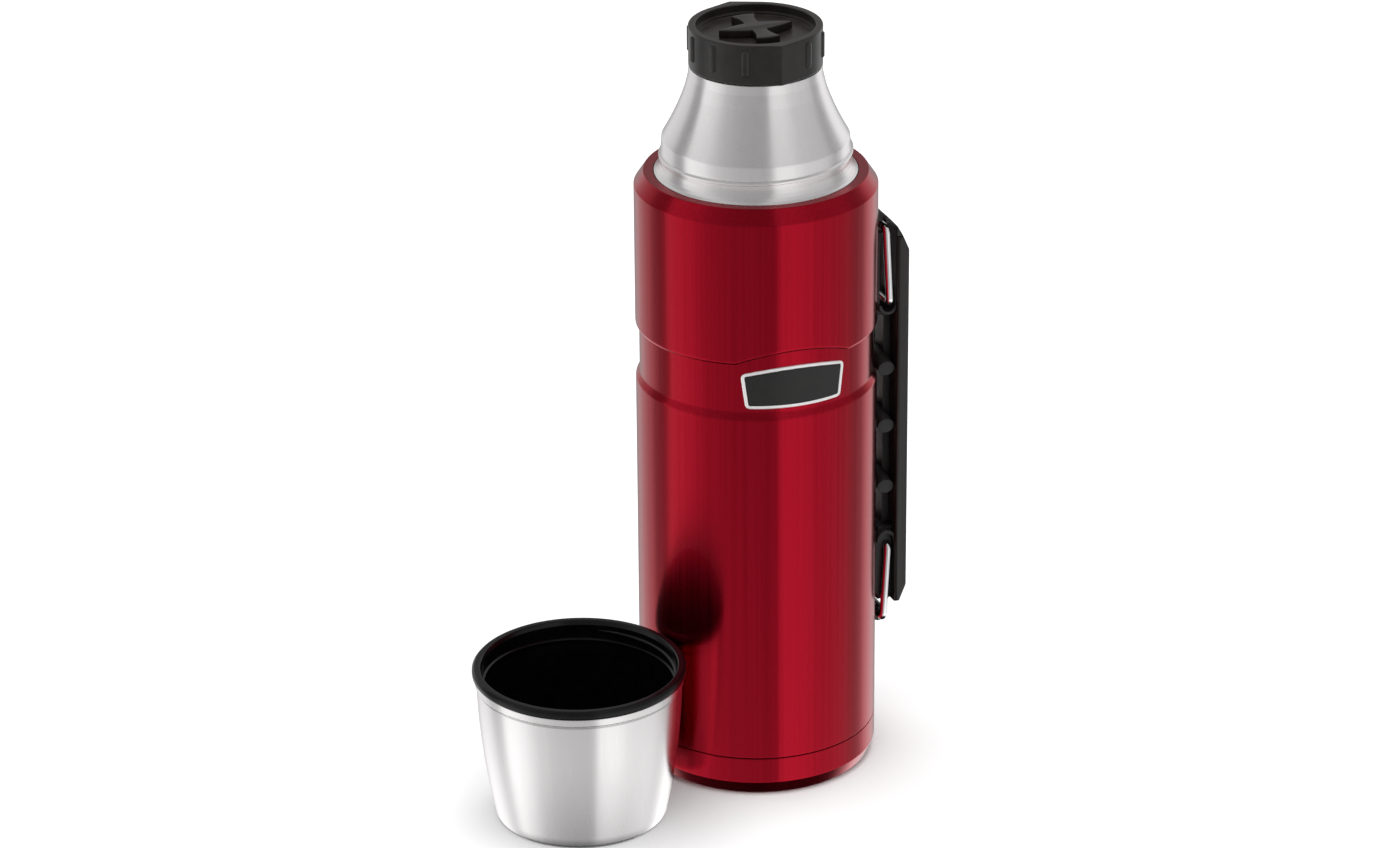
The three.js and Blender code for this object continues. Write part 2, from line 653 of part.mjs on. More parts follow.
// The inner half of the handle: spine, finger ridges, and the cheeks that hold the wire links.
function handleGrip() {
  const innerX = 49.3;
  const topEdge = [[56.9, SHELL_TOP + GAP], [54.4, 221.9], [51.6, 225], [49.6, 226.6]];
  const spine = polygon([[48.9, 58.9], [54.4, 58.9], [54.4, 61.6], [55.2, 61.6], [57.3, 67.3],
    [57.3, 208], [56.8, 212.4], [55.9, SHELL_TOP + GAP], ...topEdge, [47, 226.6],
    [47, SLOT_BOTTOM - 4], [innerX, SLOT_BOTTOM - 12], [innerX, 96], [48.9, 90]]);
  const flange = polygon([[55, 62.3], [57.3, 68], [57.3, 208], [56.8, 212.4], [55.9, 217], [55, 217]]);
  const crown = polygon([[54.5, SHELL_TOP + GAP], [56.9, SHELL_TOP + GAP], [54.5, 221.7]]);
  const beyondTop = polygon([...topEdge, [46, 226.6], [46, 240], [60, 240], [60, SHELL_TOP + GAP]]);
  const rimR = SLOT_R + 1.4;
  const pocketTop = LOWER_ROD_Z + 5.7;
  const upperRim = slotShape(rimR, SLOT_BOTTOM, SLOT_TOP);
  const lowerRim = slotShape(rimR, 61.3, pocketTop);
  const rims = [across(upperRim, 11.2), across(lowerRim, 11.2)];
  const [waistBottom, waistTop] = [pocketTop + rimR - SLOT_R + 0.6, SLOT_BOTTOM - rimR + SLOT_R - 0.6];
  const slimmed = cut(solid(across(spine, CHEEK_HALF_WIDTH)), [
    slab(40, SPINE_INNER_X, -14, 14, waistBottom, waistTop),
    slab(40, 55, SPINE_HALF_WIDTH, 14, waistBottom, waistTop),
    slab(40, 55, -14, -SPINE_HALF_WIDTH, waistBottom, waistTop),
  ]);
  const lowerPocket = slotShape(SLOT_R, 40, pocketTop);
  const pocketCuts = [];
  for (const side of [-1, 1]) {
    const [y0, y1] = [side * CHEEK_HALF_WIDTH, side * 14].sort((a, b) => a - b);
    pocketCuts.push(across(lowerPocket, (y1 - y0) / 2).translate(0, (y0 + y1) / 2, 0));
    pocketCuts.push(slab(44, 50.2, y0, y1, SLOT_BOTTOM + SLOT_R, 228));
    pocketCuts.push(slab(44, SHELL_EDGE_X, y0, y1, 40, LOWER_ROD_Z + 2.4));
  }
  const cuts = [
    across(slotShape(SLOT_R, SLOT_BOTTOM, SLOT_TOP), 14),
    slab(40, SLOT_X, -14, 14, UPPER_PIVOT_Z - 2.2, SLOT_TOP),
    slab(40, 54.2, -HOLLOW_HALF_WIDTH, HOLLOW_HALF_WIDTH, SLOT_BOTTOM + 1, 224.4),
    crossRod(BORE_R, ROD_X, LOWER_ROD_Z, 20),
    across(beyondTop, 14),
    turned([[0, 0], [HANDLE_BODY_GAP_R, 0], [HANDLE_BODY_GAP_R, 300], [0, 300]], 80),
    ...pocketCuts,
  ];
  const parts = [across(flange, 11.2), across(crown, 12.6), ...rims, ...RIDGE_HEIGHTS.map(fingerRidge)];
  return geometryOf(cut(slimmed.add(join(parts)), cuts));
}

// ---- Materials ----
const finish = (color, roughness, metalness) =>
  new THREE.MeshStandardMaterial({ color, roughness, metalness });
const redPaint = finish(0x9c1426, 0.25, 0.6);
const brushedSteel = finish(0xbfbfc2, 0.35, 1);
const innerSteel = finish(0xa9a9ad, 0.3, 1);
const chromeWire = finish(0xe4e4e8, 0.12, 1);
const blackPlastic = finish(0x2c2827, 0.55, 0);
const gripPlastic = finish(0x242122, 0.7, 0);
const cupPlastic = finish(0x101013, 0.4, 0);
const silicone = finish(0xd8d8d2, 0.7, 0);
const foam = finish(0xe8e2d0, 0.9, 0);
const badgeBlack = finish(0x2a2a29, 0.5, 0.1);
const badgeSilver = finish(0xdcdcdc, 0.25, 0.9);
const getterAlloy = finish(0x77777c, 0.6, 0.8);

// ---- Assembly ----
const BADGE_BORDER = 1.2;
const bottle = new THREE.Group();
const stopper = new THREE.Group();
const cup = new THREE.Group();
const handle = new THREE.Group();

function add(group, name, geometry, material) {
  const mesh = new THREE.Mesh(closed(geometry), material);
  mesh.name = name;
  group.add(mesh);
}

add(bottle, "base_cap", baseCap(), redPaint);
add(bottle, "vessel_bottom", vesselBottom(), innerSteel);
add(bottle, "vacuum_seal", vacuumSeal(), getterAlloy);
add(bottle, "outer_shell", outerShell(), redPaint);
add(bottle, "neck_cone", neckCone(), brushedSteel);
add(bottle, "inner_vessel", innerVessel(), innerSteel);
add(bottle, "getter", getter(), getterAlloy);
add(bottle, "badge_plate", badgePlate(BADGE_BORDER), badgeBlack);
add(bottle, "badge_rim", badgeRim(BADGE_BORDER), badgeSilver);
add(bottle, "upper_bracket", bracket(UPPER_PIVOT_Z, 208), blackPlastic);
add(bottle, "lower_bracket", bracket(LOWER_PIVOT_Z, 40), blackPlastic);

add(stopper, "stopper_cap", stopperCap(), blackPlastic);
add(stopper, "stopper_turn_bar", turnBar(), blackPlastic);
add(stopper, "stopper_plug", stopperPlug(), blackPlastic);
add(stopper, "stopper_foam", stopperFoam(), foam);
add(stopper, "stopper_gasket", stopperGasket(), silicone);
add(stopper, "rim_seal", rimSeal(), silicone);

add(handle, "upper_link", wireLink(UPPER_PIVOT_Z, UPPER_ROD_Z), chromeWire);
add(handle, "lower_link", wireLink(LOWER_PIVOT_Z, LOWER_ROD_Z), chromeWire);
add(handle, "handle_shell", handleShell(), blackPlastic);
add(handle, "handle_grip", handleGrip(), gripPlastic);

add(cup, "cup_shell", cupShell(), brushedSteel);
add(cup, "cup_liner", cupLiner(), cupPlastic);
cup.position.copy(CUP_AXIS);

const group = new THREE.Group();
group.add(bottle, stopper, cup, handle);

export default group;
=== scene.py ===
# The looks of an insulated water bottle, its stopper, handle and cup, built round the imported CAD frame.
# Shapes are drawn in millimetres in the frame's axes: +Z up, the handle towards +X, the badge towards -Y.
import json
import math

import bmesh
import bpy
from mathutils import Matrix, Vector


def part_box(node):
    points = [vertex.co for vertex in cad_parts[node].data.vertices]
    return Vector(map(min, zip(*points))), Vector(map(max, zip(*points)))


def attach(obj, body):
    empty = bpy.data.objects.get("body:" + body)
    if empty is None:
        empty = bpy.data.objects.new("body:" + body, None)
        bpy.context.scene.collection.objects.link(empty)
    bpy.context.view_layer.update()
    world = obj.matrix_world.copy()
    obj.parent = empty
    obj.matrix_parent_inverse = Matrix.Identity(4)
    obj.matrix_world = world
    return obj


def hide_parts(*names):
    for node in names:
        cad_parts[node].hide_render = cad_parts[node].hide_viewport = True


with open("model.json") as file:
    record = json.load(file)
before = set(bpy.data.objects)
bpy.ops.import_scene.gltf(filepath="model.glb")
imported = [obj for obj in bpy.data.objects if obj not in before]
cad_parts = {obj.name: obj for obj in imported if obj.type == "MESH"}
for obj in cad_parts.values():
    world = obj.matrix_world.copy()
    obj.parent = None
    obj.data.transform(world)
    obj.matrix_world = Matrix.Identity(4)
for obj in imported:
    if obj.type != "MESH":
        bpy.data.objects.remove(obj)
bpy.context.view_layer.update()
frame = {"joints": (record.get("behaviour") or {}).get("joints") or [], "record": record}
RECORD = frame["record"]
BODY_OF = {node: body for body, nodes in RECORD["behaviour"]["bodies"].items() for node in nodes}
SLOT_OF = {part["node"]: part["material_slot"] for part in RECORD["subparts"]}
PIVOT_OF = {joint["name"]: joint.get("pos_m") for joint in frame["joints"]}
MM = 0.001


def low(node):
    """A node's lowest corner in millimetres."""
    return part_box(node)[0] / MM


def high(node):
    """A node's highest corner in millimetres."""
    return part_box(node)[1] / MM


# ---- Sizes, from the frame ----
BODY_R = high("outer_shell").x
SEAM_Z = (high("base_cap").z + low("outer_shell").z) / 2
SEAM_GAP = low("outer_shell").z - high("base_cap").z
SHOULDER_TOP = high("outer_shell").z
NECK_TOP = high("neck_cone").z
CAP_BOTTOM = low("stopper_cap").z
CAP_TOP = high("stopper_cap").z
CAP_CORNER_R = high("stopper_cap").y
BAR_BOTTOM = low("stopper_turn_bar").z
BAR_TOP = high("stopper_turn_bar").z
CUP_R = (high("cup_liner").x - low("cup_liner").x) / 2
CUP_TOP = high("cup_liner").z
CUP_X = (high("cup_liner").x + low("cup_liner").x) / 2
CUP_Y = (high("cup_liner").y + low("cup_liner").y) / 2
LINK_HALF_WIDTH = high("upper_link").y
LOWER_PIVOT = Vector(PIVOT_OF["handle_lower_pivot"]) / MM
LOWER_ROD = Vector(PIVOT_OF["handle_grip_pivot"]) / MM
UPPER_PIVOT = Vector(PIVOT_OF["handle_upper_pivot"]) / MM
UPPER_ROD = Vector((LOWER_ROD.x, 0, UPPER_PIVOT.z - (LOWER_ROD.z - LOWER_PIVOT.z)))
WIRE_R = LOWER_PIVOT.z - low("lower_link").z
HANDLE_BACK_X = high("handle_shell").x
HANDLE_HALF_WIDTH = high("handle_shell").y
SHELL_EDGE_X = low("handle_shell").x
SHELL_TOP = high("handle_shell").z
GRIP_TOP = high("handle_grip").z

# ---- Sizes of the details ----
SHEET = 1  # thickness of the steel
WAIST_R = BODY_R - 1.5
WAIST_BOTTOM = 164.8
WAIST_TOP = 186
ARCH_HALF_ANGLE = math.radians(29.3)
ARCH_RISE = 4.9
FRONT_TURN = math.radians(-1.8)  # the badge and its arch are turned this far from -Y
CHAMFER_BOTTOM = SHOULDER_TOP - 5.6
CHAMFER_TOP_R = 43.7
LEDGE_R = 39.9  # inner edge of the shoulder's ledge
NECK_WALL_R = 36.75
CUP_THREAD_LEAD = 4
STOPPER_LEAD = 8
SEAT_R = 24.9  # the rim seal's room in the stopper cap
SEAT_TOP = 294.2
BADGE_MIDDLE = Vector((0, 175.6))  # distance along the waist, and height
BADGE_BACK = -0.05  # the badge's back lies just inside the waist's wall


# ---- Mesh helpers ----
WELD = 1e-7  # metres
SHARP_TURN = math.radians(35)


def clean(piece):
    """Welds the mesh, faces it outwards, and shades it smooth except at its sharp edges."""
    body = bmesh.new()
    body.from_mesh(piece.data)
    bmesh.ops.remove_doubles(body, verts=body.verts, dist=WELD)
    bmesh.ops.recalc_face_normals(body, faces=body.faces)
    for face in body.faces:
        face.smooth = True
    for edge in body.edges:
        edge.smooth = edge.is_manifold and edge.calc_face_angle(0) < SHARP_TURN
    body.to_mesh(piece.data)
    body.free()
    return piece


def link(name, data):
    """A new object in the scene that holds the mesh, curve, camera or lamp."""
    piece = bpy.data.objects.new(name, data)
    bpy.context.scene.collection.objects.link(piece)
    return piece


def from_faces(name, vertices, faces):
    """A mesh object from vertices in millimetres and faces of vertex numbers."""
    mesh = bpy.data.meshes.new(name)
    mesh.from_pydata([Vector(v) * MM for v in vertices], [], faces)
    return clean(link(name, mesh))


def applied(piece):
    """The piece as a plain mesh, with its curve or modifiers worked out."""
    bpy.context.view_layer.update()
    graph = bpy.context.evaluated_depsgraph_get()
    mesh = bpy.data.meshes.new_from_object(piece.evaluated_get(graph))
    mesh.transform(piece.matrix_world)
    name = piece.name
    bpy.data.objects.remove(piece)
    return clean(link(name, mesh))


def joined(name, pieces):
    """One object that holds all the pieces' meshes."""
    body = bmesh.new()
    for piece in pieces:
        body.from_mesh(piece.data)
        bpy.data.objects.remove(piece)
    mesh = bpy.data.meshes.new(name)
    body.to_mesh(mesh)
    body.free()
    return clean(link(name, mesh))


def combined(target, operation, others):
    """Adds the other solids to the target, or cuts them from it."""
    for other in others:
        modifier = target.modifiers.new(other.name, "BOOLEAN")
        modifier.operation = operation
        modifier.solver = "EXACT"
        modifier.object = other
    result = applied(target)
    for other in others:
        bpy.data.objects.remove(other)
    return result


# ---- Outlines ----
SUPPORT = 0.4  # from an arc's end to its support point, which keeps the flat beyond it flat
ARC_SHARE = 0.45  # the most of an edge that an arc may take
SUPPORT_SHARE = 0.49  # the most of an edge that an arc and its support point may take


def bend(start, control, end, steps):
    """Points of a quadratic curve, without its last one."""
    points = []
    for k in range(steps):
        t = k / steps
        points.append(tuple((1 - t) ** 2 * a + 2 * t * (1 - t) * b + t * t * c
                            for a, b, c in zip(start, control, end)))
    return points


def rounded(corners, steps=4):
    """A closed outline from (x, y) or (x, y, radius) corners, with a support point past each arc's ends."""
    points = []
    for i, corner in enumerate(corners):
        here = Vector(corner[:2])
        if len(corner) < 3:
            points.append(tuple(here))
            continue
        before = Vector(corners[i - 1][:2]) - here
        after = Vector(corners[(i + 1) % len(corners)][:2]) - here
        reach = corner[2] / math.tan(before.angle(after) / 2)
        reach = min(reach, ARC_SHARE * before.length, ARC_SHARE * after.length)
        start = here + before.normalized() * reach
        end = here + after.normalized() * reach
        points.append(tuple(here + before.normalized() * min(reach + SUPPORT, SUPPORT_SHARE * before.length)))
        points += bend(start, here, end, steps)
        points.append(tuple(end))
        points.append(tuple(here + after.normalized() * min(reach + SUPPORT, SUPPORT_SHARE * after.length)))
    return points


def arc(x, y, radius, start, end, steps=24):
    """Points on a circle from one angle to another, in degrees."""
    angles = [math.radians(start + (end - start) * k / steps) for k in range(steps + 1)]
    return [(x + radius * math.cos(a), y + radius * math.sin(a)) for a in angles]


def slot_outline(x, bottom, top, radius, end_radius):
    """An upright slot with round ends; the end centres lie end_radius inside bottom and top."""
    return (arc(x, bottom + end_radius, radius, 180, 360)
            + arc(x, top - end_radius, radius, 0, 180))


# ---- Solids ----
SIDES = 192  # facets round a turned piece
ROD_SIDES = 144


def swept(name, outline_at, extra_angles=(), sides=SIDES):
    """A solid turned about Z. outline_at(angle) gives its closed (radius, z) outline at that angle."""
    even = [2 * math.pi * k / sides - math.pi for k in range(sides)]
    angles = sorted(set(even) | set(extra_angles))
    columns = [outline_at(angle) for angle in angles]
    rows = len(columns[0])
    assert all(len(column) == rows for column in columns), name
    vertices = []
    for angle, column in zip(angles, columns):
        vertices += [(r * math.cos(angle), r * math.sin(angle), z) for r, z in column]
    faces = []
    for i in range(len(angles)):
        j = (i + 1) % len(angles)
        for k in range(rows):
            m = (k + 1) % rows
            faces.append((i * rows + k, j * rows + k, j * rows + m, i * rows + m))
    return from_faces(name, vertices, faces)


def turned(name, corners, sides=SIDES):
    """A solid turned about Z from the (radius, z) corners of its closed outline."""
    outline = rounded(corners)
    return swept(name, lambda angle: outline, sides=sides)


def plate(name, outline, half_width, bevel=0):
    """A flat piece with that outline in X and Z, centred on Y = 0."""
    curve = bpy.data.curves.new(name, "CURVE")
    curve.dimensions = "2D"
    curve.fill_mode = "BOTH"
    spline = curve.splines.new("POLY")
    spline.points.add(len(outline) - 1)
    for point, (x, z) in zip(spline.points, outline):
        point.co = (x * MM, z * MM, 0, 1)
    spline.use_cyclic_u = True
    curve.extrude = (half_width - bevel) * MM
    curve.bevel_depth = bevel * MM
    curve.bevel_resolution = 2
    curve.offset = -bevel * MM
    piece = link(name, curve)
    piece.rotation_euler = (math.pi / 2, 0, 0)
    return applied(piece)


def block(name, x0, x1, y0, y1, z0, z1):
    """A box."""
    outline = [(x0, z0), (x1, z0), (x1, z1), (x0, z1)]
    piece = plate(name, outline, (y1 - y0) / 2)
    piece.data.transform(Matrix.Translation((0, (y0 + y1) / 2 * MM, 0)))
    return piece


def rod(name, radius, x, z, half_width, bevel=0):
    """A round bar along Y."""
    last = 360 * (ROD_SIDES - 1) / ROD_SIDES
    return plate(name, arc(x, z, radius, 0, last, ROD_SIDES - 1), half_width, bevel)


def helix(name, root_r, tip_r, middle_z, start, lead, turns, base, crest):
    """One thread ridge, base wide at its root and crest wide at its tip, which fades away at its ends."""
    per_turn = 96
    corner_r = 0.25
    steps = round(turns * per_turn)
    fade = per_turn / 10
    vertices = []
    faces = []
    for i in range(steps + 1):
        angle = start + 2 * math.pi * i / per_turn
        middle = middle_z + (i / per_turn - turns / 2) * lead
        grown = min(1, i / fade, (steps - i) / fade)
        tip = root_r + (tip_r - root_r) * math.sin(grown * math.pi / 2)
        section = rounded([(root_r, middle - base / 2), (tip, middle - crest / 2, corner_r),
                           (tip, middle + crest / 2, corner_r), (root_r, middle + base / 2)])
        vertices += [(r * math.cos(angle), r * math.sin(angle), z) for r, z in section]
    rows = len(section)
    for i in range(steps):
        for k in range(rows):
            m = (k + 1) % rows
            faces.append((i * rows + k, (i + 1) * rows + k, (i + 1) * rows + m, i * rows + m))
    faces.append(tuple(range(rows)))
    faces.append(tuple(steps * rows + k for k in range(rows)))
    return from_faces(name, vertices, faces)


def stopper_threads(name, root_r, tip_r, middle_z):
    """The two ridges of the stopper's thread, which start opposite each other."""
    turns, base, crest = 1.25, 1.6, 0.8
    return [helix(f"{name}_{i}", root_r, tip_r, middle_z, i * math.pi, STOPPER_LEAD, turns, base, crest)
            for i in range(2)]


# ---- Materials ----
NOISE_SPAN = (0.3, 0.7)  # nearly all of the noise lies in here
NOISE_ROUGHNESS = 0.55


def surface(name, **sockets):
    """A material whose constant values are set on its Principled shader."""
    made = bpy.data.materials.new(name)
    made.use_nodes = True
    shader = made.node_tree.nodes["Principled BSDF"]
    for socket, value in sockets.items():
        shader.inputs[socket.replace("_", " ")].default_value = value
    return made


def shader_of(made):
    return made.node_tree.nodes["Principled BSDF"]


def noise(made, scale, detail):
    """Noise in the object's own space, with a scale per metre for each axis."""
    tree = made.node_tree
    place = tree.nodes.new("ShaderNodeTexCoord")
    stretch = tree.nodes.new("ShaderNodeMapping")
    stretch.inputs["Scale"].default_value = scale
    texture = tree.nodes.new("ShaderNodeTexNoise")
    texture.inputs["Scale"].default_value = 1
    texture.inputs["Detail"].default_value = detail
    texture.inputs["Roughness"].default_value = NOISE_ROUGHNESS
    tree.links.new(place.outputs["Object"], stretch.inputs["Vector"])
    tree.links.new(stretch.outputs["Vector"], texture.inputs["Vector"])
    return texture.outputs["Fac"]


def colour(made, factor, dark, light, span=NOISE_SPAN):
    """Base colour that goes from dark to light as the factor goes through the span."""
    tree = made.node_tree
    ramp = tree.nodes.new("ShaderNodeValToRGB")
    for element, position, value in zip(ramp.color_ramp.elements, span, (dark, light)):
        element.position = position
        element.color = (*value, 1)
    tree.links.new(factor, ramp.inputs["Fac"])
    tree.links.new(ramp.outputs["Color"], shader_of(made).inputs["Base Color"])


def rough(made, factor, least, most):
    """Roughness that goes from least to most with the factor."""
    tree = made.node_tree
    span = tree.nodes.new("ShaderNodeMapRange")
    span.inputs["From Min"].default_value = NOISE_SPAN[0]
    span.inputs["From Max"].default_value = NOISE_SPAN[1]
    span.inputs["To Min"].default_value = least
    span.inputs["To Max"].default_value = most
    tree.links.new(factor, span.inputs["Value"])
    tree.links.new(span.outputs["Result"], shader_of(made).inputs["Roughness"])


def relief(made, factor, height, strength):
    """Bump of that height in millimetres."""
    tree = made.node_tree
    bump = tree.nodes.new("ShaderNodeBump")
    bump.inputs["Distance"].default_value = height * MM
    bump.inputs["Strength"].default_value = strength
    tree.links.new(factor, bump.inputs["Height"])
    tree.links.new(bump.outputs["Normal"], shader_of(made).inputs["Normal"])


def brushed(made, amount):
    """Metal turned about Z: it was brushed round the axis, so its highlights run along it."""
    quarter_turn = 0.25
    tree = made.node_tree
    tangent = tree.nodes.new("ShaderNodeTangent")
    tangent.direction_type = "RADIAL"
    tangent.axis = "Z"
    shader = shader_of(made)
    shader.inputs["Anisotropic"].default_value = amount
    shader.inputs["Anisotropic Rotation"].default_value = quarter_turn
    tree.links.new(tangent.outputs["Tangent"], shader.inputs["Tangent"])


def red_paint():
    """Clear-coated translucent red over drawn steel."""
    made = surface("red_paint", Metallic=1.0, Coat_Weight=0.1, Coat_Roughness=0.05, Coat_IOR=1.4)
    streaks = noise(made, (900, 900, 4), 4)
    colour(made, streaks, (0.33, 0.0035, 0.014), (0.39, 0.0055, 0.020))
    rough(made, streaks, 0.20, 0.24)
    brushed(made, 0.75)
    return made


def brushed_steel():
    """Bare steel with fine lines along the axis."""
    made = surface("brushed_steel", Metallic=1.0)
    lines = noise(made, (450, 450, 4), 2)
    light = (0.86, 0.84, 0.84)
    dark = tuple(c * 0.97 for c in light)
    colour(made, lines, dark, light)
    rough(made, lines, 0.27, 0.30)
    brushed(made, 0.75)
    return made


def inner_steel():
    """The dull, cloudy steel of the inner vessel."""
    made = surface("inner_steel", Metallic=1.0)
    cloud = noise(made, (120, 120, 40), 5)
    colour(made, cloud, (0.42, 0.42, 0.43), (0.56, 0.56, 0.57))
    rough(made, cloud, 0.24, 0.36)
    return made


def chrome_wire():
    made = surface("chrome_wire", Metallic=1.0)
    cloud = noise(made, (300, 300, 120), 3)
    colour(made, cloud, (0.80, 0.80, 0.81), (0.88, 0.88, 0.89))
    rough(made, cloud, 0.05, 0.11)
    return made


def moulded(name, dark, light, least, most, specular, grain):
    """Moulded plastic with a fine grain, given in millimetres."""
    made = surface(name, Specular_IOR_Level=specular)
    cloud = noise(made, (160, 160, 160), 4)
    fine = noise(made, (3200, 3200, 3200), 2)
    colour(made, cloud, dark, light)
    rough(made, cloud, least, most)
    relief(made, fine, grain, 0.5)
    return made


def black_plastic():
    return moulded("black_plastic", dark=(0.008, 0.0065, 0.006), light=(0.013, 0.011, 0.010),
                   least=0.28, most=0.36, specular=0.4, grain=0.012)


def grip_plastic():
    return moulded("grip_plastic", dark=(0.010, 0.009, 0.009), light=(0.016, 0.0145, 0.0145),
                   least=0.44, most=0.56, specular=0.4, grain=0.012)


def cup_plastic():
    return moulded("cup_plastic", dark=(0.0012, 0.0012, 0.0018), light=(0.0025, 0.0025, 0.003),
                   least=0.18, most=0.26, specular=0.25, grain=0.003)


def badge_black():
    return moulded("badge_black", dark=(0.008, 0.008, 0.008), light=(0.013, 0.013, 0.012),
                   least=0.40, most=0.50, specular=0.35, grain=0.02)


def silicone():
    made = surface("silicone", Subsurface_Weight=0.2)
    cloud = noise(made, (400, 400, 400), 3)
    colour(made, cloud, (0.58, 0.58, 0.54), (0.68, 0.68, 0.64))
    rough(made, cloud, 0.42, 0.58)
    relief(made, cloud, 0.01, 0.4)
    return made


def foam():
    made = surface("foam")
    cells = noise(made, (1400, 1400, 1400), 2)
    colour(made, cells, (0.55, 0.48, 0.34), (0.80, 0.75, 0.60), span=(0.35, 0.6))
    rough(made, cells, 0.8, 0.95)
    relief(made, cells, 0.2, 0.8)
    return made


def getter_alloy():
    made = surface("getter_alloy", Metallic=0.8)
    grains = noise(made, (2200, 2200, 2200), 3)
    colour(made, grains, (0.10, 0.10, 0.11), (0.22, 0.22, 0.23), span=(0.35, 0.65))
    rough(made, grains, 0.5, 0.75)
    relief(made, grains, 0.05, 0.6)
    return made


def badge_silver():
    made = surface("badge_silver", Metallic=0.6)
    cloud = noise(made, (500, 500, 500), 3)
    colour(made, cloud, (0.86, 0.85, 0.85), (0.93, 0.92, 0.92))
    rough(made, cloud, 0.34, 0.44)
    return made


MATERIALS = {make.__name__: make() for make in (
    red_paint, brushed_steel, inner_steel, chrome_wire, black_plastic, grip_plastic, cup_plastic, silicone,
    foam, badge_black, badge_silver, getter_alloy)}


def stands_for(piece, node):
    """The piece takes the place, body, slot and finish of a CAD node."""
    piece.name = node + "_look"
    piece.data.materials.clear()
    piece.data.materials.append(MATERIALS[SLOT_OF[node]])
    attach(piece, BODY_OF[node])
    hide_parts(node)


# ---- Bottle ----
def base_cap():
    return turned("base_cap_look", [
        (0, 0),
        (24, 0, 0.4),
        (25, 1.8, 0.4),
        (33, 1.8, 0.4),
        (34, 0, 0.4),
        (45.1, 0, 0.5),
        (BODY_R, 5.5, 0.9),
        (BODY_R, SEAM_Z - SEAM_GAP / 2, 0.25),
        (BODY_R - SHEET, SEAM_Z - SEAM_GAP / 2),
        (BODY_R - SHEET, 5.7, 0.5),
        (44.6, 1.1, 0.5),
        (34.9, 1.1),
        (33.8, 2.9),
        (24.2, 2.9),
        (23.2, 1.1),
        (0, 1.1),
    ])


def vessel_bottom():
    return turned("vessel_bottom_look", [
        (1.8, 4.4),
        (36, 4.4, 3),
        (44, 6.8, 3),
        (46.1, 11, 2),
        (46.1, 17),
        (45.1, 17),
        (45.1, 11.4, 2),
        (43.4, 7.8, 3),
        (35.6, 5.4, 3),
        (1.8, 5.4),
    ])


def vacuum_seal():
    return turned("vacuum_seal_look", [
        (0, 3.5),
        (1, 3.7, 0.3),
        (1.4, 4.3, 0.3),
        (1.4, 5.6, 0.3),
        (0.9, 6, 0.2),
        (0, 6.1),
    ], sides=48)


def arch_edge(angle):
    """Height of the upper body's lower edge: it rises in an arch over the badge."""
    off = abs(math.remainder(angle + math.pi / 2 - FRONT_TURN, 2 * math.pi))
    if off >= ARCH_HALF_ANGLE:
        return WAIST_TOP
    across = math.sin(off) / math.sin(ARCH_HALF_ANGLE)
    return WAIST_TOP + ARCH_RISE * (1 - across ** 2)


def outer_shell():
    roll = 1.4

    def outline(angle):
        edge = arch_edge(angle)
        return rounded([
            (BODY_R, SEAM_Z + SEAM_GAP / 2, 0.25),
            (BODY_R, WAIST_BOTTOM - 1.4, 1.5),
            (WAIST_R, WAIST_BOTTOM + 1, 1),
            (WAIST_R, edge),
            *bend((WAIST_R + 0.1, edge), (BODY_R, edge), (BODY_R, edge + roll), 8),
            (BODY_R, edge + roll),
            (BODY_R, edge + 2),
            (BODY_R, CHAMFER_BOTTOM, 0.5),
            (CHAMFER_TOP_R, SHOULDER_TOP, 0.5),
            (LEDGE_R, SHOULDER_TOP, 0.2),
            (LEDGE_R, SHOULDER_TOP - SHEET),
            (CHAMFER_TOP_R - 0.5, SHOULDER_TOP - SHEET),
            (BODY_R - SHEET, CHAMFER_BOTTOM - 0.4),
            (BODY_R - SHEET, WAIST_TOP + 9),
            (WAIST_R - SHEET, WAIST_TOP + 7),
            (WAIST_R - SHEET, WAIST_BOTTOM - 1),
            (BODY_R - SHEET, WAIST_BOTTOM - 3),
            (BODY_R - SHEET, SEAM_Z + SEAM_GAP / 2),
        ], steps=5)

    ends = [-math.pi / 2 + FRONT_TURN + side * ARCH_HALF_ANGLE for side in (-1, 1)]
    return swept("outer_shell_look", outline, extra_angles=ends, sides=288)


def neck_cone():
    skirt = low("neck_cone").z
    cone_bottom, cone_top = 263.2, 283.1
    cone = bend((36.5, cone_bottom), (30.7, 273.1), (27.4, cone_top), 16)
    body = turned("neck_cone_look", [
        (LEDGE_R - 0.3, skirt),
        (LEDGE_R - 0.3, SHOULDER_TOP, 0.15),
        (38.7, 250, 0.8),
        (37.8, 251.1, 1),
        (37.1, 252.5, 1.5),
        (NECK_WALL_R, 254, 1.5),
        (NECK_WALL_R, 258.2, 1.5),
        (cone[0][0], cone[0][1], 1.2),
        *cone[1:],
        (27.4, cone_top, 0.3),
        (26.1, 288.4, 0.8),
        (25.75, CAP_BOTTOM - 0.4, 0.25),
        (24.1, CAP_BOTTOM - 0.4, 0.1),
        (23.9, NECK_TOP, 0.1),
        (22.6, NECK_TOP, 0.3),
        (22.6, 291.1),
        (24.6, 290.4),
        (26.4, 283),
        (30.1, 273),
        (35.3, 262.6),
        (35.7, 258),
        (35.7, 253.8),
        (36.8, 250.8),
        (38.4, 249.2),
        (38.6, skirt),
    ])
    bead = helix("neck_bead", root_r=NECK_WALL_R - 0.3, tip_r=37.75, middle_z=256.8, start=math.radians(80),
                 lead=CUP_THREAD_LEAD, turns=0.95, base=2.1, crest=0.8)
    return joined("neck_cone_look", [body, bead])


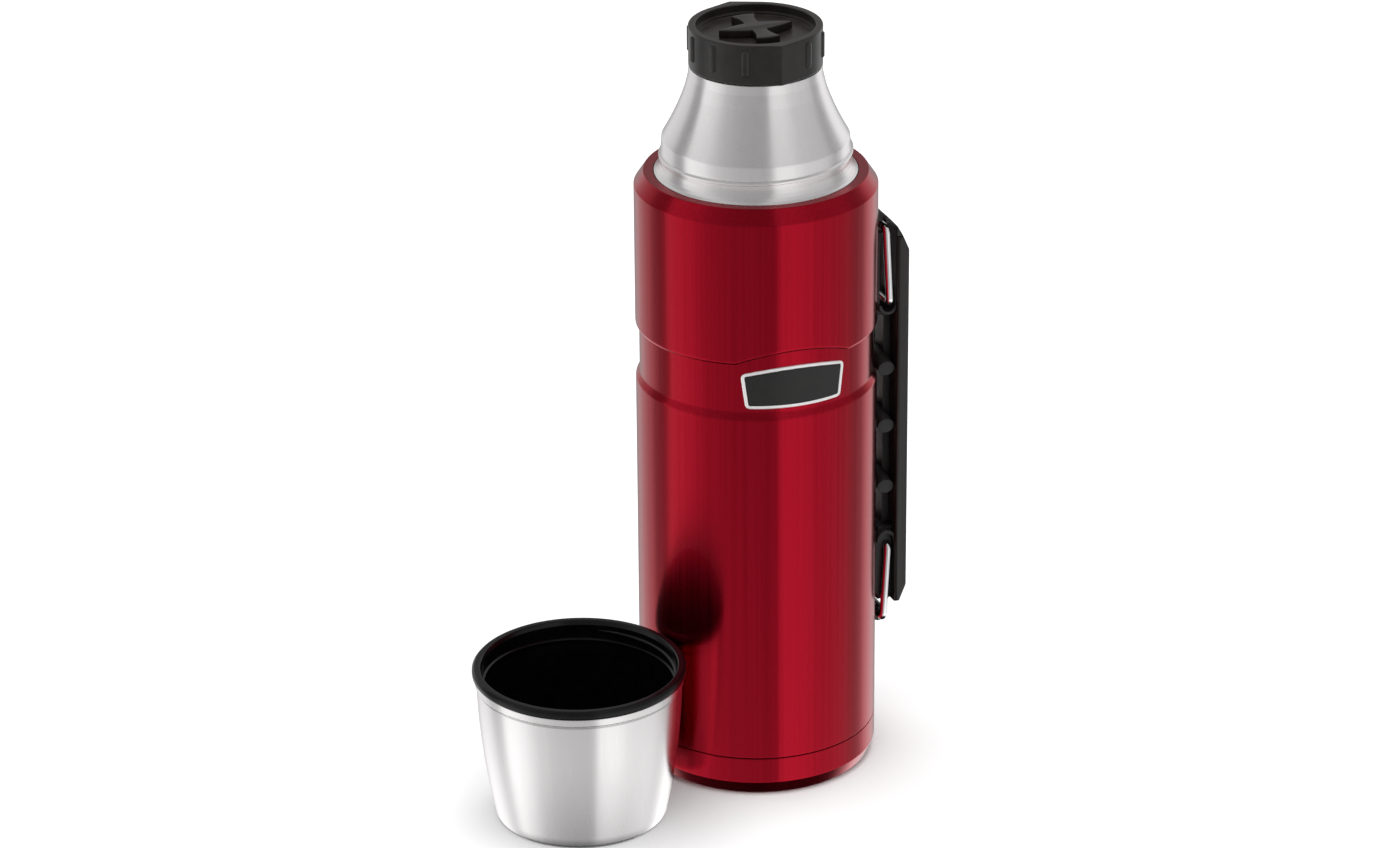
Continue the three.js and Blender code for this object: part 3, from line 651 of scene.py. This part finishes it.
def inner_vessel():
    liner_r = high("inner_vessel").x
    floor = low("inner_vessel").z
    body = turned("inner_vessel_look", [
        (0, floor),
        (30, floor, 6),
        (38, floor + 1.5, 3),
        (41, 13.5, 2),
        (liner_r, 18, 2),
        (liner_r, 236, 4),
        (40.3, 242, 4),
        (36.2, 249, 4),
        (31.5, 257, 4),
        (26.5, 264.5, 2),
        (23, 267.5, 1),
        (22.3, 268.8, 0.5),
        (22.3, 272),
        (23.6, 273.4),
        (23.6, 290.7),
        (22.6, 290.7, 0.2),
        (22.6, 273.9, 0.5),
        (21.2, 272.5, 0.5),
        (21.2, 268.3, 0.5),
        (22, 266.8, 0.8),
        (25.8, 263.6, 2),
        (30.7, 256.3, 4),
        (35.3, 248.5, 4),
        (39.4, 241.6, 4),
        (liner_r - SHEET, 235.7, 4),
        (liner_r - SHEET, 18.2, 2),
        (40.1, 14, 2),
        (37.4, 10.9, 3),
        (29.6, floor + SHEET, 6),
        (0, floor + SHEET),
    ])
    return joined("inner_vessel_look", [body, *stopper_threads("bore_thread", 22.9, 21.3, 283)])


def getter():
    return turned("getter_look", [(0, 6.7), (5.6, 6.7, 0.2), (6, 7, 0.2), (6, 8.1, 0.3), (0, 8.1)], sides=64)


# ---- Badge ----
def badge_outline(inset):
    """The badge's closed outline, as distance along the waist and height."""
    top_half = 20.9 - inset
    bottom_half = 19.15 - inset
    bottom = 167.8 + inset
    corner = 182 - inset
    rise, crown_r, spacing = 2.9, 8, 0.6
    crown = [(top_half * (1 - k / 4), corner + rise * (1 - (1 - k / 4) ** 2)) for k in range(9)]
    radius = 2.2 - 0.6 * inset
    left, right = crown[-1], crown[0]
    middle = [(*point, crown_r) for point in crown[1:-1]]
    points = [(-bottom_half, bottom, radius), (bottom_half, bottom, radius), (*right, radius), *middle,
              (*left, radius)]
    return dense(rounded(points, 6), spacing)


def dense(outline, spacing):
    """The outline with points added so that none are further apart than the spacing."""
    points = []
    for here, after in zip(outline, outline[1:] + outline[:1]):
        step = Vector(after) - Vector(here)
        count = max(1, math.ceil(step.length / spacing))
        points += [tuple(Vector(here) + step * (k / count)) for k in range(count)]
    return points


def on_waist(along, height, out):
    """A point on the front of the waist, given as seen from the front."""
    angle = math.asin(along / WAIST_R) + FRONT_TURN
    radius = WAIST_R + out
    return (radius * math.sin(angle), -radius * math.cos(angle), height)


def rings(name, loops, ends=False):
    """A solid through closed loops of equal length, each joined to the next. It ends in two flat faces, or
    runs round to its first loop again."""
    count = len(loops[0])
    vertices = [point for loop in loops for point in loop]
    faces = []
    for i in range(len(loops) - (1 if ends else 0)):
        j = (i + 1) % len(loops)
        for k in range(count):
            m = (k + 1) % count
            faces.append((i * count + k, i * count + m, j * count + m, j * count + k))
    if ends:
        faces.append(tuple(range(count)))
        faces.append(tuple(len(vertices) - count + k for k in range(count)))
    return from_faces(name, vertices, faces)


def badge_loop(border, share, out):
    """The badge's border shrunk towards its middle, as a loop that far out from the waist."""
    shrunk = [BADGE_MIDDLE + (Vector(point) - BADGE_MIDDLE) * share for point in border]
    return [on_waist(x, z, out) for x, z in shrunk]


def badge_plate():
    border = badge_outline(1.0)
    edge = [on_waist(x, z, BADGE_BACK) for x, z in border]
    front = [badge_loop(border, share, 0.55) for share in (1, 0.97, 0.9, 0.75, 0.6, 0.45, 0.3, 0.15, 0)]
    back = [badge_loop(border, share, BADGE_BACK) for share in (0, 0.3, 0.6, 0.9)]
    return rings("badge_plate_look", [edge, *front, *back])


def badge_rim():
    section = [(0, BADGE_BACK), (0, 0.6), (0.18, 0.85), (0.45, 0.95),
               (0.75, 0.95), (1.02, 0.85), (1.2, 0.6), (1.2, BADGE_BACK)]
    edge = badge_outline(0)
    loops = [[on_waist(*inwards(edge, k, inset), out) for k in range(len(edge))] for inset, out in section]
    return rings("badge_rim_look", loops)


def inwards(outline, k, inset):
    """Point k of an anticlockwise outline, moved inwards along its own normal."""
    before, here, after = (Vector(outline[(k + d) % len(outline)]) for d in (-1, 0, 1))
    along = (after - before).normalized()
    moved = here + Vector((-along.y, along.x)) * inset
    return moved.x, moved.y


# ---- Stopper ----
CAP_R = 25.9
CORNER_TOUCH = math.acos(CAP_R / CAP_CORNER_R)
CORNER_SOFTNESS = math.radians(0.8)
CORNERS = (-math.pi / 2, math.pi / 2)


def cap_radius(angle):
    """The cap is round, with straight sides that run out to two opposite corners."""
    off = min(abs(math.remainder(angle - corner, 2 * math.pi)) for corner in CORNERS)
    if off > CORNER_TOUCH:
        return CAP_R
    return CAP_R / math.cos(CORNER_TOUCH - math.hypot(off, CORNER_SOFTNESS))


def grip_rib(angle):
    """A raised rib with round ends on the cap's side. Its border lies sunk inside the wall."""
    half_width, half_height, proud, sunk, middle_z = 1.7, 5.3, 1.05, 0.25, 301.3
    across = [-1, -0.96, -0.85, -0.6, -0.3, 0, 0.3, 0.6, 0.85, 0.96, 1]
    rows = 40
    vertices = []
    faces = []
    for i in range(rows + 1):
        up = half_height * math.sin(math.pi * (i / rows - 0.5))
        room = half_width
        beyond = abs(up) - (half_height - half_width)
        if beyond > 0:
            room = math.sqrt(max(0, half_width ** 2 - beyond ** 2))
        for share in across:
            side = share * room
            rise = proud * math.sqrt(max(0, 1 - share ** 2)) * min(1, room / half_width * 1.3)
            vertices.append((CAP_R - sunk + rise, side, middle_z + up))
    wide = len(across)
    for i in range(rows):
        for k in range(wide - 1):
            a = i * wide + k
            faces.append((a, a + 1, a + wide + 1, a + wide))
    piece = from_faces(f"rib_{round(math.degrees(angle))}", vertices, faces)
    piece.data.transform(Matrix.Rotation(angle, 4, "Z"))
    return piece


def stopper_cap():
    recess_r, floor, step, floor_thickness = 23, 304.4, 0.9, 2
    step_r = recess_r - 1.2
    plug_room = 21

    def outline(angle):
        side = cap_radius(angle)
        return rounded([
            (SEAT_R, CAP_BOTTOM, 0.2),
            (side, CAP_BOTTOM, 0.5),
            (side, CAP_TOP, 0.55),
            (recess_r, CAP_TOP, 0.4),
            (recess_r, floor + step, 0.2),
            (step_r, floor + step, 0.2),
            (step_r, floor, 0.3),
            (0, floor),
            (0, floor - floor_thickness),
            (plug_room, floor - floor_thickness),
            (plug_room, SEAT_TOP),
            (SEAT_R, SEAT_TOP),
        ])

    near_corners = [corner + math.radians(d) for corner in CORNERS for d in (-1.2, -0.7, -0.3, 0.3, 0.7, 1.2)]
    body = swept("stopper_cap_look", outline, near_corners)
    corner_places = (3, 9)
    ribs = [grip_rib(i * math.pi / 6) for i in range(12) if i not in corner_places]
    return joined("stopper_cap_look", [body, *ribs])


def turn_bar():
    """The raised bar in the stopper's top: a long lens with two flared arms."""
    tip, lens, root, neck, flare, crown = (15, 0), (8, 3.6), (3, 4), (2.2, 8), (4.8, 13.4), (0, 15)
    same_point, sunk, edge = 0.05, 0.3, 0.35
    half_crown = bend(flare, crown, (-flare[0], flare[1]), 6)[:4]
    quarter = bend(tip, lens, root, 8) + bend(root, neck, flare, 8) + half_crown
    outline = []
    for side_x, side_y, order in ((1, 1, 1), (-1, 1, -1), (-1, -1, 1), (1, -1, -1)):
        for x, y in quarter[::order]:
            point = (x * side_x, y * side_y)
            if not outline or (Vector(point) - Vector(outline[-1])).length > same_point:
                outline.append(point)
    if (Vector(outline[0]) - Vector(outline[-1])).length < same_point:
        outline.pop()
    half = (BAR_TOP - BAR_BOTTOM + sunk) / 2
    piece = plate("turn_bar", outline, half, edge)
    piece.data.transform(Matrix.Rotation(-math.pi / 2, 4, "X"))
    piece.data.transform(Matrix.Translation((0, 0, (BAR_TOP - half) * MM)))
    return piece


def stopper_plug():
    bottom = low("stopper_plug").z
    plug_r, crest_r = 20.6, 21.9
    body = turned("stopper_plug_look", [
        (0, bottom),
        (20, bottom, 0.6),
        (plug_r, bottom + 0.6, 0.3),
        (plug_r, 267.9, 0.2),
        (18.2, 267.9),
        (18.2, 271.5),
        (plug_r, 271.5, 0.3),
        (plug_r, 302, 0.2),
        (19, 302),
        (19, 273.2),
        (0, 273.2),
    ])
    return joined("stopper_plug_look", [body, *stopper_threads("plug_thread", plug_r - 0.3, crest_r, 281)])


def stopper_foam():
    return turned("stopper_foam_look", [(0, 273.5), (18.7, 273.5, 0.5), (18.7, 301.4, 0.5), (0, 301.4)])


def stopper_gasket():
    return turned("stopper_gasket_look", [
        (18.5, 268.2),
        (20.2, 268.2, 0.3),
        (20.9, 268.9, 0.3),
        (20.4, 269.7, 0.3),
        (20.9, 270.5, 0.3),
        (20.2, 271.2, 0.3),
        (18.5, 271.2),
    ])


def rim_seal():
    return turned("rim_seal_look", [
        (21.4, 292.4),
        (24.6, 292.4, 0.4),
        (24.6, 293.9, 0.2),
        (21.4, 293.9),
    ])


# ---- Cup ----
def on_cup_axis(piece):
    """The cup is made round Z and then moved to its own axis."""
    piece.data.transform(Matrix.Translation((CUP_X * MM, CUP_Y * MM, 0)))
    return piece


def cup_shell():
    top = high("cup_shell").z
    outside = bend((34.1, 1.2), (39.9, 30), (40.4, 55.4), 20)
    inside = [(r - SHEET, z + 0.1) for r, z in reversed(outside[1:])]
    return on_cup_axis(turned("cup_shell_look", [
        (0, 1),
        (31, 1, 0.5),
        (32, 0, 0.3),
        (33.6, 0, 0.7),
        *outside,
        (40.4, 55.5, 0.2),
        (40.0, 55.95, 0.1),
        (40.45, 56.4, 0.2),
        (41.1, 56.9, 0.3),
        (41.1, top, 0.2),
        (40.2, top),
        (40.2, 57.2),
        *inside,
        (33.2, 2),
        (0, 2),
    ]))


def cup_liner():
    floor = low("cup_liner").z
    wall_r, lip_low = 38, CUP_TOP - 3.4
    outside = bend((32.8, floor), (38.6, 30), (39, 55), 14)
    inside = bend((37.6, 53), (37.3, 30), (31.6, floor + 1.2), 14)
    body = turned("cup_liner_look", [
        (0, floor),
        *outside,
        (39, lip_low, 0.2),
        (CUP_R, lip_low, 0.9),
        (CUP_R, CUP_TOP - 1, 0.7),
        (CUP_R - 0.9, CUP_TOP, 0.7),
        (wall_r + 0.9, CUP_TOP, 0.8),
        (wall_r + 0.1, CUP_TOP - 1.7, 0.6),
        (wall_r, 59.4),
        (wall_r, 54.2),
        *inside,
        (31.4, floor + 1.2, 1),
        (0, floor + 1.2),
    ])
    ridge = helix("cup_thread", root_r=wall_r + 0.3, tip_r=37.2, middle_z=56.4, start=math.radians(-76),
                  lead=CUP_THREAD_LEAD, turns=1.4, base=1.9, crest=0.8)
    return on_cup_axis(joined("cup_liner_look", [body, ridge]))


# ---- Handle ----
def wire_link(name, pivot, link_rod):
    """A ring bent from one round wire."""
    bend_r, bend_steps = 2.6, 10
    half = LINK_HALF_WIDTH - WIRE_R
    corners = [Vector((pivot.x, half, pivot.z)), Vector((link_rod.x, half, link_rod.z)),
               Vector((link_rod.x, -half, link_rod.z)), Vector((pivot.x, -half, pivot.z))]
    path = []
    for i, here in enumerate(corners):
        before = (corners[i - 1] - here).normalized() * bend_r
        after = (corners[(i + 1) % 4] - here).normalized() * bend_r
        path += bend(here + before, here, here + after, bend_steps) + [tuple(here + after)]
    curve = bpy.data.curves.new(name, "CURVE")
    curve.dimensions = "3D"
    curve.bevel_depth = WIRE_R * MM
    curve.bevel_resolution = 10
    spline = curve.splines.new("POLY")
    spline.points.add(len(path) - 1)
    for point, place in zip(spline.points, path):
        point.co = (*(Vector(place) * MM), 1)
    spline.use_cyclic_u = True
    return applied(link(name, curve))


def bracket(node, pivot):
    """A saddle on the bottle's side that holds one link's rod."""
    lowest, highest, half = low(node), high(node), high(node).y
    root_x, pad_x, edge, play = 45.5, 49.2, 0.4, 0.1
    barrel_r = highest.x - pivot.x
    outline = rounded([(root_x, lowest.z), (pad_x, lowest.z, 1), (pad_x, highest.z, 1), (root_x, highest.z)])
    pad = plate("pad", outline, half, edge)
    neck = block("neck", root_x, pivot.x, -half, half, pivot.z - barrel_r, pivot.z + barrel_r)
    barrel = rod("barrel", barrel_r, pivot.x, pivot.z, half, edge)
    body = combined(pad, "UNION", [neck, barrel])
    bore = rod("bore", WIRE_R + play, pivot.x, pivot.z, 2 * half)
    bottle = swept("bottle_room", lambda angle: [(0, 30), (BODY_R, 30), (BODY_R, 240), (0, 240)])
    return combined(body, "DIFFERENCE", [bore, bottle])


def handle_shell():
    """The handle's outer half: a long moulded channel."""
    back, edge, wall = HANDLE_BACK_X, 1.2, 1.5
    outside = rounded([
        (SHELL_EDGE_X, 58.6),
        (56.9, 58.5, 0.8),
        (back, 65.5, 3),
        (back, 211.2, 3),
        (57.2, SHELL_TOP, 0.6),
        (SHELL_EDGE_X, SHELL_TOP),
    ], 6)
    cavity = rounded([
        (54, 61),
        (55.4, 61),
        (57.7, 67, 2),
        (57.7, 208),
        (57.2, 212.5),
        (56.2, 219),
        (54, 219),
    ])
    body = plate("handle_shell_look", outside, HANDLE_HALF_WIDTH, edge)
    return combined(body, "DIFFERENCE", [plate("cavity", cavity, HANDLE_HALF_WIDTH - wall)])


def finger_ridge(middle_z):
    """An oval bar along Y whose upper side arches up between its flat ends."""
    middle_x, half_x, half_y, half_z, rise = 50.9, 3.5, 11, 2.8, 3.1
    around, edge = 48, 0.35
    places = [-half_y, *[half_y * math.sin(math.pi / 2 * k / 12) for k in range(-11, 12)], half_y]
    loops = []
    for y in places:
        taper = edge if abs(y) == half_y else 0
        loop = []
        for k in range(around):
            turn = 2 * math.pi * k / around
            up = half_z + (rise * (1 - (y / half_y) ** 2) if math.sin(turn) > 0 else 0)
            x = middle_x + (half_x - taper) * math.cos(turn)
            loop.append((x, y, middle_z + (up - taper) * math.sin(turn)))
        loops.append(loop)
    return rings(f"ridge_{round(middle_z)}", loops, True)


def handle_grip():
    """The handle's inner half: spine, finger ridges, and the cheeks and slots that hold the wire links."""
    slot_x, slot_r, rim_r = 51.55, 2.85, 4.25
    slot_low, slot_high = 185.3, 223.2
    split = SHELL_TOP + 0.3
    pocket_bottom, pocket_top = 61.3, LOWER_ROD.z + 5.7
    cheek, web, crown_half = 8.6, 11.2, 12.6
    spine_x, spine_half = 52.2, 4.4
    outside, edge, rim_edge = 14, 0.3, 0.5  # outside is past both sides of the grip
    top_edge = [(56.9, split), (54.4, 221.9), (51.6, 225), (49.6, GRIP_TOP)]
    spine = [(48.9, 58.9), (54.4, 58.9), (54.4, 61.6), (55.2, 61.6), (57.3, 67.3), (57.3, 208), (56.8, 212.4),
             (55.9, split), *top_edge, (47, GRIP_TOP), (47, slot_low - 4), (49.3, slot_low - 12), (49.3, 96),
             (48.9, 90)]
    flange = [(55, 62.3), (57.3, 68), (57.3, 208), (56.8, 212.4), (55.9, 217), (55, 217)]
    crown = [(54.5, split), (56.9, split), (54.5, 221.7)]
    beyond_top = [*top_edge, (46, GRIP_TOP), (46, 240), (60, 240), (60, split)]
    upper_rim = slot_outline(slot_x, slot_low, slot_high, rim_r, slot_r)
    lower_rim = slot_outline(slot_x, pocket_bottom, pocket_top, rim_r, slot_r)
    parts = [
        plate("flange", flange, web, edge),
        plate("crown", crown, crown_half),
        plate("upper_rim", upper_rim, web + 0.05, rim_edge),
        plate("lower_rim", lower_rim, web + 0.05, rim_edge),
    ]
    parts += [finger_ridge(z) for z in (161, 136.2, 109.7)]
    slim_low, slim_high = pocket_top + 2, slot_low - 2
    slimming = [block("slim_face", 40, spine_x, -outside, outside, slim_low, slim_high)]
    for side in (-1, 1):
        y0, y1 = sorted((side * spine_half, side * outside))
        slimming.append(block(f"slim_side_{side}", 40, 55, y0, y1, slim_low, slim_high))
    slimmed = combined(plate("spine", spine, cheek, edge), "DIFFERENCE", slimming)
    body = combined(slimmed, "UNION", parts)
    cuts = [
        plate("upper_slot", slot_outline(slot_x, slot_low, slot_high, slot_r, slot_r), outside),
        block("slot_mouth", 40, slot_x, -outside, outside, UPPER_PIVOT.z - 2.2, slot_high),
        block("hollow", 40, 54.2, -6.6, 6.6, slot_low + 1, 224.4),
        rod("rod_hole", WIRE_R + 0.15, LOWER_ROD.x, LOWER_ROD.z, 20),
        plate("beyond_top", beyond_top, outside),
        swept("bottle_gap", lambda angle: [(0, 30), (48.1, 30), (48.1, 250), (0, 250)]),
    ]
    for side in (-1, 1):
        y0, y1 = sorted((side * cheek, side * outside))
        outline = slot_outline(slot_x, 40, pocket_top, slot_r, slot_r)
        pocket = plate(f"pocket_{side}", outline, (y1 - y0) / 2)
        pocket.data.transform(Matrix.Translation((0, (y0 + y1) / 2 * MM, 0)))
        cuts.append(pocket)
        cuts.append(block(f"upper_open_{side}", 44, 50.2, y0, y1, slot_low + slot_r, 228))
        cuts.append(block(f"lower_open_{side}", 44, SHELL_EDGE_X, y0, y1, 40, LOWER_ROD.z + 2.4))
    return combined(body, "DIFFERENCE", cuts)


PIECES = {
    "base_cap": base_cap,
    "vessel_bottom": vessel_bottom,
    "vacuum_seal": vacuum_seal,
    "outer_shell": outer_shell,
    "neck_cone": neck_cone,
    "inner_vessel": inner_vessel,
    "getter": getter,
    "badge_plate": badge_plate,
    "badge_rim": badge_rim,
    "upper_bracket": lambda: bracket("upper_bracket", UPPER_PIVOT),
    "lower_bracket": lambda: bracket("lower_bracket", LOWER_PIVOT),
    "stopper_cap": stopper_cap,
    "stopper_turn_bar": turn_bar,
    "stopper_plug": stopper_plug,
    "stopper_foam": stopper_foam,
    "stopper_gasket": stopper_gasket,
    "rim_seal": rim_seal,
    "cup_shell": cup_shell,
    "cup_liner": cup_liner,
    "upper_link": lambda: wire_link("upper_link_look", UPPER_PIVOT, UPPER_ROD),
    "lower_link": lambda: wire_link("lower_link_look", LOWER_PIVOT, LOWER_ROD),
    "handle_shell": handle_shell,
    "handle_grip": handle_grip,
}
for node, make in PIECES.items():
    stands_for(make(), node)


# ---- Camera and studio ----
CAMERA_AZIMUTH = math.radians(-20.3)
CAMERA_ELEVATION = math.radians(23.993)
CAMERA_ROLL = math.radians(-0.49)
CAMERA_PLACE = (-0.6441, -1.6653, 0.9357)  # metres
CAMERA_LENS = 128.74


def add_camera():
    data = bpy.data.cameras.new("camera")
    data.lens = CAMERA_LENS
    data.sensor_width = 36
    camera = link("camera", data)
    level = math.cos(CAMERA_ELEVATION)
    right = Vector((math.cos(CAMERA_AZIMUTH), math.sin(CAMERA_AZIMUTH), 0))
    back = Vector((math.sin(CAMERA_AZIMUTH) * level, -math.cos(CAMERA_AZIMUTH) * level,
                   math.sin(CAMERA_ELEVATION)))
    up = back.cross(right)
    tilted_right = math.cos(CAMERA_ROLL) * right + math.sin(CAMERA_ROLL) * up
    tilted_up = math.cos(CAMERA_ROLL) * up - math.sin(CAMERA_ROLL) * right
    turn = Matrix((tilted_right, tilted_up, back)).transposed()
    camera.matrix_world = Matrix.Translation(CAMERA_PLACE) @ turn.to_4x4()
    bpy.context.scene.camera = camera


def add_floor():
    """Pale paper. Nothing mirrors it: below the horizon, reflections show the world's panels instead."""
    half, z = 6000, -0.3
    corners = [(-half, -half, z), (half, -half, z), (half, half, z), (-half, half, z)]
    floor = from_faces("floor", corners, [(0, 1, 2, 3)])
    paper = surface("floor_paper", Roughness=0.9, Specular_IOR_Level=0.1)
    colour(paper, noise(paper, (6, 6, 6), 2), (0.79, 0.79, 0.79), (0.81, 0.81, 0.81))
    floor.data.materials.append(paper)
    floor.visible_glossy = False


def levels(tree, factor, stops):
    """Grey levels along a factor, from (position, level) stops."""
    ramp = tree.nodes.new("ShaderNodeValToRGB")
    elements = ramp.color_ramp.elements
    while len(elements) < len(stops):
        elements.new(1)
    for element, (position, _) in zip(elements, stops):
        element.position = position
    for element, (_, level) in zip(elements, stops):
        element.color = (level, level, level, 1)
    tree.links.new(factor, ramp.inputs["Fac"])
    return ramp.outputs["Color"]


def light_world(tree, bearings, panels, haze):
    """Soft upright panels all round: a level for each bearing, in degrees to the right of the camera. They
    fade with height, and a haze is added to them. Heights run from -1, straight down, to 1, straight up."""
    place = tree.nodes.new("ShaderNodeTexCoord")
    turn = tree.nodes.new("ShaderNodeMapping")
    turn.inputs["Rotation"].default_value = (0, 0, math.pi / 2 - CAMERA_AZIMUTH)
    around = tree.nodes.new("ShaderNodeTexGradient")
    around.gradient_type = "RADIAL"
    tree.links.new(place.outputs["Generated"], turn.inputs["Vector"])
    tree.links.new(turn.outputs["Vector"], around.inputs["Vector"])
    level = levels(tree, around.outputs["Fac"], [(0.5 + b / 360, value) for b, value in bearings])
    apart = tree.nodes.new("ShaderNodeSeparateXYZ")
    tree.links.new(place.outputs["Generated"], apart.inputs["Vector"])
    height = tree.nodes.new("ShaderNodeMapRange")
    height.inputs["From Min"].default_value = -1
    tree.links.new(apart.outputs["Z"], height.inputs["Value"])
    fade = levels(tree, height.outputs["Result"], [(0.5 + z / 2, value) for z, value in panels])
    even = levels(tree, height.outputs["Result"], [(0.5 + z / 2, value) for z, value in haze])
    mixed = tree.nodes.new("ShaderNodeMath")
    mixed.operation = "MULTIPLY_ADD"
    for socket, source in zip(mixed.inputs, (level, fade, even)):
        tree.links.new(source, socket)
    tree.links.new(mixed.outputs["Value"], tree.nodes["Background"].inputs["Color"])


def add_studio():
    world = bpy.data.worlds.new("studio")
    bpy.context.scene.world = world
    world.use_nodes = True
    bearings = [
        (-180, 0.4), (-166, 0.45), (-150, 0.85), (-122, 0.75), (-113, 0.36), (-97, 0.34), (-95, 1.15),
        (-80, 1.0), (-66, 0.9), (-50, 0.6), (-24, 0.45), (19, 0.38), (22, 1.0), (44, 0.95), (62, 0.72),
        (98, 0.62), (108, 0.38), (120, 0.5), (130, 1.05), (148, 1.0), (163, 0.45), (180, 0.4),
    ]
    panels = [
        (-1, 0.02), (-0.82, 0.03), (-0.68, 1.0), (-0.55, 1.1), (-0.42, 0.86), (0, 0.86), (0.3, 0.7),
        (0.6, 0.6), (1, 0.5),
    ]
    haze = [
        (-1, 0.0), (-0.82, 0.01), (-0.68, 0.42), (-0.52, 0.42), (-0.44, 0.03), (0.2, 0.03), (0.45, 0.1),
        (1, 0.1),
    ]
    light_world(world.node_tree, bearings, panels, haze)
    world.node_tree.nodes["Background"].inputs["Strength"].default_value = 1.05
    data = bpy.data.lights.new("top_panel", "AREA")
    data.size = 3
    data.energy = 110
    lamp = link("top_panel", data)
    lamp.location = (0, 0, 2.6)
    lamp.visible_camera = False
    lamp.visible_glossy = False
    bpy.context.scene.view_settings.view_transform = "Standard"


add_camera()
add_floor()
add_studio()
